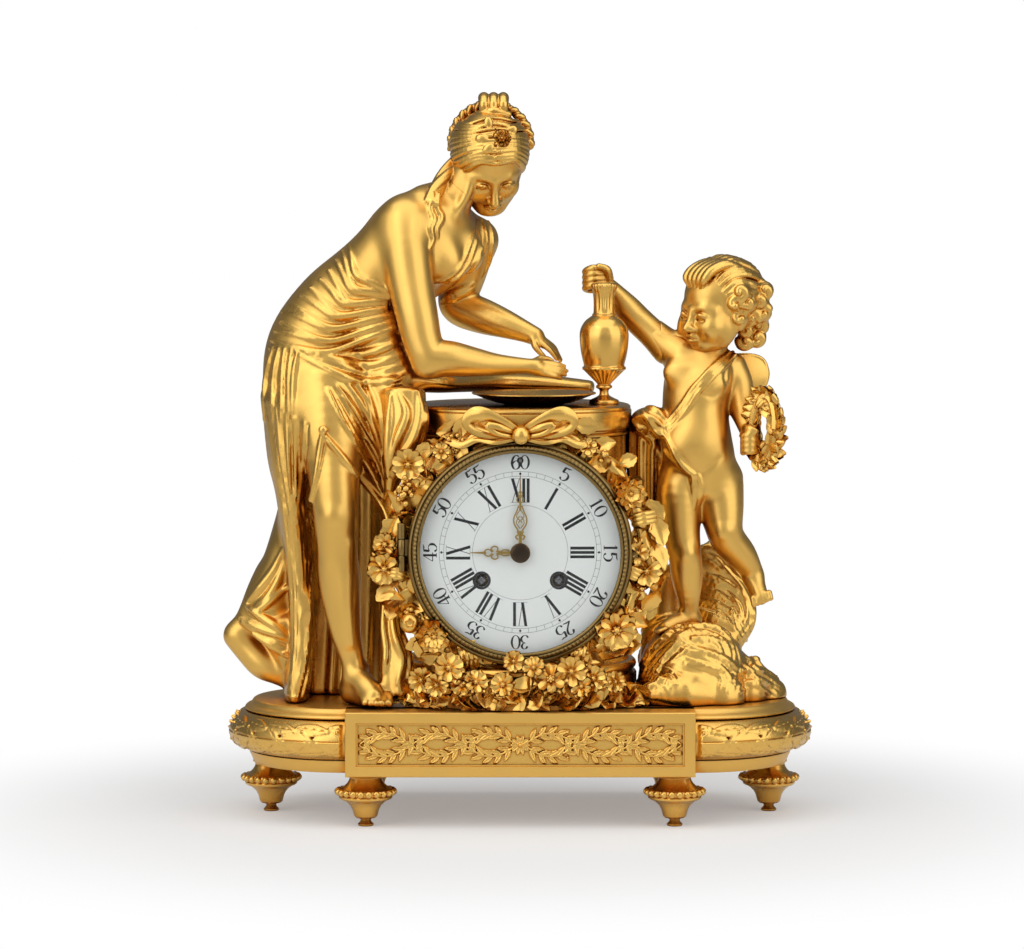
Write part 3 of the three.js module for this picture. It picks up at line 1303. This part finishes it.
const EWER_X = 48.7;
const EWER_Y = -12;
const EWER_HEIGHT = 70;
const EWER_BELLY = 14.3;
const handlePath = [
  up(EWER_X, EWER_Y + 5, EWER_HEIGHT * 0.943),
  up(EWER_X - 1.7, EWER_Y + 13, EWER_HEIGHT * 1.043),
  up(EWER_X - 2.7, EWER_Y + 20, EWER_HEIGHT * 0.971),
  up(EWER_X - 2.2, EWER_Y + 19, EWER_HEIGHT * 0.786),
  up(EWER_X, EWER_Y + 8, EWER_HEIGHT * 0.657),
];
const handleRadii = [2, 2, 1.9, 1.9, 1.9];
function ewer() {
  const low = PEDESTAL_TOP + GAP;
  const jug = turned(
    [
      [0, low],
      [9, low],
      [8.4, low + 2],
      [3.4, low + 7],
      [4.6, low + EWER_HEIGHT * 0.2],
      [12.4, low + EWER_HEIGHT * 0.29],
      [13, low + EWER_HEIGHT * 0.35],
      [12.6, low + EWER_HEIGHT * 0.42],
      [EWER_BELLY, low + EWER_HEIGHT * 0.6],
      [6.6, low + EWER_HEIGHT * 0.75],
      [5.8, low + EWER_HEIGHT * 0.85],
      [7.6, low + EWER_HEIGHT],
      [5.6, low + EWER_HEIGHT],
      [4.4, low + EWER_HEIGHT * 0.86],
      [0, low + EWER_HEIGHT * 0.8],
    ],
    14,
  ).translate([EWER_X, EWER_Y, 0]);
  const hollow = disc(4.4, low + EWER_HEIGHT * 0.84, low + EWER_HEIGHT, 14, EWER_X, EWER_Y);
  return join(jug, cut(limb(handlePath, handleRadii, 6), hollow));
}

// Winged child
const childArmPath = [on(88, 3, 203), on(76, 6, 213), on(66.5, 8, 222), on(59, 8, 230), on(53.5, 8, 238)];
const childArmRadii = [8.5, 8, 6.8, 6, 4.6];
const standingLeg = [on(96, -4, 128), on(96, -8, 108), on(96.5, -10, 86), on(98, -8, 68), on(100, -6, 48)];
const standingRadii = [15.5, 13.5, 10.2, 10.4, 6.8];
const standingFoot = [on(101, -4, 42), on(90, -10, 41.5), on(80, -14, 40.5)];
const standingFootRadii = [5.6, 5.5, 3.6];
const raisedLeg = [on(114, 0, 126), on(118, -4, 112), on(121, -6, 100), on(128, 0, 86), on(135, 4, 74)];
const raisedRadii = [15.5, 14, 10.8, 9.4, 6.2];
const raisedFoot = [on(136, 4, 72), on(140, 0, 62), on(142.5, -4, 54)];
const raisedFootRadii = [5.5, 5.2, 3.4];
const WREATH = { at: on(141, -23.6, 160), width: 9.5, height: 20.5, stem: 3.2 };
const leftFist = () => ball(on(137, -15, 157), 5.5, 5.2, 6);
const loop = (stem) => {
  const ring = ringOf(
    around(5, (i, a) => [WREATH.height + stem * Math.cos(a), stem * Math.sin(a)]),
    16,
  );
  const upright = ring.rotate([90, 0, 0]).scale([WREATH.width / WREATH.height, 1, 1]).rotate([0, 0, -65]);
  return upright.translate([WREATH.at.x, WREATH.at.y, WREATH.at.z]);
};

function childTorso() {
  return body(
    [
      [on(106, -1, 118), v3(16, -5, 2), v3(-6, -13, 0)],
      [on(106, -2, 132), v3(21, -7, 0), v3(-7, -16, 0)],
      [on(104, -5, 150), v3(19.5, -7, 0), v3(-7, -17, 0)],
      [on(104, -4, 168), v3(18, -6, 0), v3(-6, -15, 0)],
      [on(106, -3, 186), v3(18.5, -5, -2), v3(-5, -13, 0)],
      [on(108, -1, 200), v3(16, -3, -3), v3(-4, -9, 0)],
      [on(111, 0, 210), v3(8, -1, 0), v3(-3, -7, 0)],
    ],
    10,
  );
}

function childHead() {
  const skull = ball(on(119, 0, 234), 21, 21, 23);
  const face = ball(on(108, -10, 225), 13, 12, 14);
  const curls = around(5, (i, a) => {
    const at = on(122 + 15 * Math.cos(a), 2 + 15 * Math.sin(a), 247 - 3 * Math.cos(a));
    return ball(at, 9, 9, 8, [0, 0, 0], 6, 4);
  });
  const neck = limb([on(109, 0, 203), on(113, -1, 212), on(116, -1, 220)], [9, 8.5, 9]);
  return join(neck, skull, face, curls);
}

function childBody() {
  const legs = [limb(standingLeg, standingRadii), limb(raisedLeg, raisedRadii)];
  const feet = [limb(standingFoot, standingFootRadii, 6), limb(raisedFoot, raisedFootRadii, 6)];
  const arm = limb(
    [on(126, 3, 190), on(129, -1, 180), on(130, -7, 172), on(133, -11, 165), on(135, -13, 160)],
    [9, 7.8, 6.8, 6, 4.8],
  );
  const sashPath = [on(128, -2, 198), on(108, -15, 184), on(92, -16, 164), on(86, -8, 146)];
  const sash = limb(sashPath, [4, 3.4, 3.4, 4], 6);
  const cloth = ball(on(112, -5, 130), 18, 14, 10, [0, 0.3, 0]);
  const tail = limb([on(122, 4, 138), on(128, 12, 120), on(124, 20, 98), on(118, 24, 86)], [9, 8, 7, 6], 6);
  const shoulder = ball(on(93, 2, 200), 11, 9, 10);
  const all = join(childTorso(), childHead(), legs, feet, arm, shoulder, leftFist(), sash, cloth, tail);
  const socket = limb(childArmPath, grown(childArmRadii));
  return whole(cut(all, socket, loop(WREATH.stem + 1.5 * GAP), wingRoom(1), wingRoom(-1)));
}

function childRightArm() {
  const fist = ball(on(46.5, 7, 243), 6.4, 5.6, 6);
  return whole(cut(join(limb(childArmPath, childArmRadii), fist), limb(handlePath, grown(handleRadii), 6)));
}

// Ribbed wings behind the shoulders, each let into the back
const wingSections = (side) => {
  const x = (out) => 112 + side * out * (side > 0 ? 1 : 0.68); // the left wing is closed behind the back
  const back = side > 0 ? 0 : 6;
  return [
    [on(x(7), 9, 184), v3(-1.6, 2.4 * side, 0), v3(0, 2, 8)],
    [on(x(19), 17 + back, 190), v3(-1.5, 2.2 * side, 0), v3(0, 2, 14)],
    [on(x(29), 21 + back, 187), v3(-1.2, 1.8 * side, 0), v3(0, 1, 12)],
    [on(x(35), 23 + back, 179), v3(-0.8, 1.2 * side, 0), v3(0, 1, 6)],
  ];
};
const wing = (side) => body(wingSections(side), 8);
const wingRoom = (side) => {
  const wider = wingSections(side).map(([at, thick, tall]) => {
    return [at, thick.clone().multiplyScalar(1.25), tall.clone().multiplyScalar(1.08)];
  });
  return body(wider, 8);
};

// Cloud: swirling lobes that leave room for the child's feet
function cloud() {
  const forms = [
    egg(on(101, -12, 19), [30, 27, 26], 5),
    trunk(
      [
        [on(93, -14, -1), ACROSS, 32, 27],
        [on(97, -13, 13), ACROSS, 29, 27],
        [on(100, -11, 27), ACROSS, 23, 25],
      ],
      5,
    ),
    cord([on(94, -38, 7), on(78, -38, 6), on(66, -34, 2)], [11, 8, 4.6], 4),
    egg(on(96, -37, 5), [17, 10, 12], 4),
    egg(on(116, -30, 3), [14, 12, 14], 4),
    egg(on(133, -12, 4), [11, 15, 14], 4),
    cord([on(126, -8, 17), on(138, -4, 11), on(149, 0, 4)], [10.5, 9, 6.4], 4),
    egg(on(143, 2, -1), [13, 17, 11], 4),
    trunk(
      [
        [on(119, 13, -1), ACROSS, 22, 20],
        [on(118, 16, 17), ACROSS, 19, 14],
        [on(118, 20, 30), ACROSS, 15, 13.5],
        [on(121, 24, 43), ACROSS, 10, 18],
        [on(120, 27, 58), ACROSS, 7.5, 17],
        [on(116, 29, 73), ACROSS, 6, 14],
        [on(108, 30, 84), ACROSS, 4.6, 7.4],
      ],
      5,
    ),
    trunk(
      [
        [on(87, 22, -1), ACROSS, 18, 17],
        [on(87, 23, 23), ACROSS, 14, 16],
        [on(89, 25, 45), ACROSS, 9, 16],
        [on(94, 27, 61), ACROSS, 6.5, 15],
        [on(101, 29, 74), ACROSS, 5, 10],
      ],
      5,
    ),
  ];
  const room = [
    limb(standingLeg, grown(standingRadii)),
    limb(standingFoot, grown(standingFootRadii), 6),
    limb(raisedLeg, grown(raisedRadii)),
    limb(raisedFoot, grown(raisedFootRadii), 6),
    limb([on(122, 4, 138), on(128, 12, 120), on(124, 20, 98), on(118, 24, 86)], grown([9, 8, 7, 6]), 6),
  ];
  return whole(cut(fitted(cast(forms)), room).simplify(CAST_TRIM));
}

// Garland round the bezel: a ring set with leaves and flowers, tied with a bow at the top
function leaf(length, width) {
  return body(
    [
      [v3(0, 0, 0), v3(width * 0.3, 0, 0), v3(0, 0, 1.2)],
      [v3(0, length * 0.45, 1.2), v3(width * 0.5, 0, 0), v3(0, 0, 1.4)],
      [v3(0, length * 0.9, 0), v3(width * 0.18, 0, 0), v3(0, 0, 0.8)],
    ],
    4,
  );
}

function garland() {
  const ring = ringOf(
    around(5, (i, a) => {
      const [out, front] = [Math.cos(a), Math.sin(a)].map((q) => GARLAND_THICKNESS * q);
      return [GARLAND_RADIUS + out, GARLAND_MIDDLE + front];
    }),
    ROUND,
  );
  const leaves = around(14, (i, a) => {
    const degrees = (a * 180) / Math.PI;
    const lean = i % 2 ? 32 : -28;
    const seat = [GARLAND_RADIUS + 1, 0, GARLAND_MIDDLE + 3];
    const blade = leaf(14, 11).rotate([0, 0, -90 + lean]).translate(seat);
    return blade.rotate([0, 0, degrees]);
  });
  const flowers = around(7, (i, a) => {
    const [x, y] = [Math.cos(a + 0.2), Math.sin(a + 0.2)].map((q) => GARLAND_RADIUS * q);
    const at = v3(x, y, GARLAND_MIDDLE + 3.1);
    return ball(at, 7.5, 7.5, 3.8, [0, 0, 0], 6, 3);
  });
  const capLine = PEDESTAL_CAP_RADIUS + 1;
  const ribbon = (side) => {
    const xs = [0, 0.155, 0.373, 0.56, 0.684].map((k) => k * BEZEL_RADIUS);
    const ys = [1.12, 1.213, 1.198, 1.089, 0.964].map((k) => k * BEZEL_RADIUS);
    const path = xs.map((x, i) => v3(side * x, ys[i], Math.sqrt(capLine ** 2 - x ** 2) + 1.5));
    return limb(path, [3, 4.5, 5, 4, 2.4], 6);
  };
  const bow = [ribbon(1), ribbon(-1), ball(v3(0, 1.112 * BEZEL_RADIUS, capLine + 2.5), 5.2, 5.2, 4.4)];
  const hinge = box(
    HINGE_X - HINGE_RADIUS - 1,
    0,
    hingeLow - 1,
    hingeLow + 3 * (HINGE_KNUCKLE + GAP) + 1,
    TUBE_FRONT - 1,
    FAR / 4,
  );
  const catchRoom = box(0, BEZEL_RADIUS + 3.6, -4, 4, BEZEL_BACK - 1, FAR / 4);
  const bezelRoom = disc(BEZEL_RADIUS + 0.6, -FAR / 4, FAR / 4, ROUND);
  const all = cut(join(ring, leaves, flowers, bow), bezelRoom, hinge, catchRoom);
  return whole(cut(frontward(all), pedestalRoom));
}

// Swag of leaves and fruit laid round the front of the pedestal's foot
function swag() {
  const radius = PEDESTAL_FOOT_RADIUS + 0.8;
  const at = (a, h, out = 0) => on((radius + out) * Math.sin(a), -(radius + out) * Math.cos(a), h);
  const angles = [-0.58, -0.4, -0.2, 0, 0.3, 0.55, 0.78];
  const stem = limb(angles.map((a) => at(a, 6)), [2.6, 4.2, 4.8, 4, 4.8, 4.2, 2.6], 6);
  const leaves = [-0.48, -0.28, -0.1, 0.16, 0.42, 0.66].map((a, i) => {
    const blade = leaf(14, 9).rotate([90, 0, 0]).rotate([0, i % 2 ? 38 : -42, 0]);
    const seat = at(a, 8, 1);
    return blade.rotate([0, 0, (a * 180) / Math.PI]).translate([seat.x, seat.y, seat.z]);
  });
  const fruit = [-0.3, 0.05, 0.45].map((a) => ball(at(a, 9, 1), 4.6, 3.6, 4.4, [0, 0, 0], 6, 3));
  const front = box(-FAR, FAR, -FAR, -BLOCK_FRONT, 0, FAR);
  return whole(cut(join(stem, leaves, fruit), underBase, pedestalRoom, front));
}

piece(clock, "woman_body", womanBody(), GILT);
piece(clock, "woman_right_arm", womanRightArm(), GILT);
piece(clock, "woman_left_arm", womanLeftArm(), GILT);
piece(clock, "basin", basin(), GILT);
piece(clock, "ewer", ewer(), GILT);
piece(clock, "child_body", childBody(), GILT);
piece(clock, "child_right_arm", childRightArm(), GILT);
piece(clock, "right_wing", wing(1), MATT_GILT);
piece(clock, "left_wing", wing(-1), MATT_GILT);
piece(clock, "leaf_wreath", loop(WREATH.stem), MATT_GILT);
piece(clock, "cloud", cloud(), MATT_GILT);
piece(clock, "garland", garland(), MATT_GILT);
piece(clock, "foot_swag", swag(), MATT_GILT);

export default clock;
